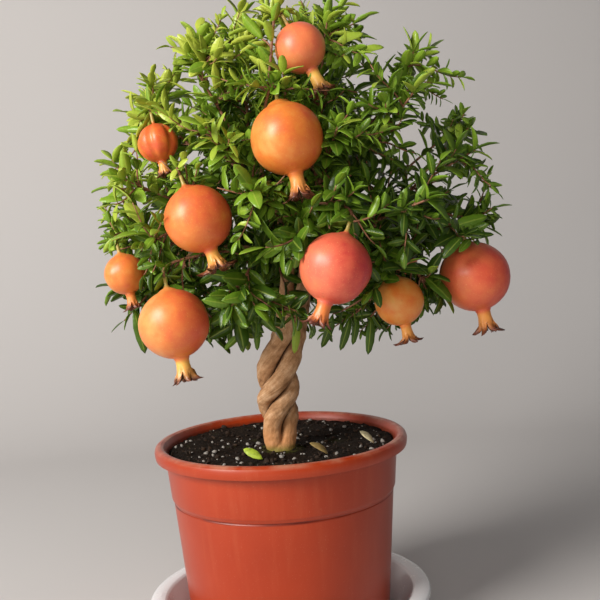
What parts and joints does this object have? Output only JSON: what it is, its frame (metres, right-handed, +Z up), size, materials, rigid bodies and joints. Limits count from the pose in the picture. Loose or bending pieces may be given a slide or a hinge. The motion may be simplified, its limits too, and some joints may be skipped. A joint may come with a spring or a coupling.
{
  "type": "potted dwarf pomegranate",
  "caption": "Small pomegranate tree with a twisted three-stem trunk, a round leafy crown and hanging fruit, in a plastic pot on a white saucer",
  "frame": {"origin": "centre of the saucer's flat underside", "axes": "+Z up along the pot's axis, -Y to the front of the tree as pictured, +X to the right of that view"},
  "size_m": [0.3062, 0.2546, 0.4768],
  "materials": {
    "saucer_plastic": "smooth gloss white",
    "pot_plastic": "satin terracotta-coloured plastic, a little dusty",
    "potting_soil": "loose dark potting mix with pale grains",
    "bark": "smooth tan bark",
    "rind": "waxy orange to red rind",
    "leaf": "glossy green leaf",
    "fallen_leaf": "dry yellow leaf"
  },
  "bodies": {
    "root": {"fallen_leaf_brown": "fallen_leaf", "fallen_leaf_green": "fallen_leaf", "fallen_leaf_pale": "fallen_leaf", "fruit_back_left": "rind", "fruit_back_low": "rind", "fruit_back_right": "rind", "fruit_far_left": "rind", "fruit_far_right": "rind", "fruit_lower_left": "rind", "fruit_lower_middle": "rind", "fruit_lower_right": "rind", "fruit_middle_left": "rind", "fruit_top": "rind", "fruit_upper_left": "rind", "fruit_upper_middle": "rind", "pot": "pot_plastic", "saucer": "saucer_plastic", "soil": "potting_soil", "spray_01": "leaf", "spray_02": "leaf", "spray_03": "leaf", "spray_04": "leaf", "spray_05": "leaf", "spray_06": "leaf", "spray_07": "leaf", "spray_08": "leaf", "spray_09": "leaf", "spray_10": "leaf", "spray_11": "leaf", "spray_12": "leaf", "spray_13": "leaf", "spray_14": "leaf", "spray_15": "leaf", "spray_16": "leaf", "spray_17": "leaf", "spray_18": "leaf", "spray_19": "leaf", "spray_20": "leaf", "spray_21": "leaf", "spray_22": "leaf", "spray_23": "leaf", "spray_24": "leaf", "spray_25": "leaf", "spray_26": "leaf", "spray_27": "leaf", "spray_28": "leaf", "spray_29": "leaf", "spray_30": "leaf", "spray_31": "leaf", "spray_32": "leaf", "spray_33": "leaf", "spray_34": "leaf", "spray_35": "leaf", "spray_36": "leaf", "wood": "bark"}
  },
  "joints": []
}
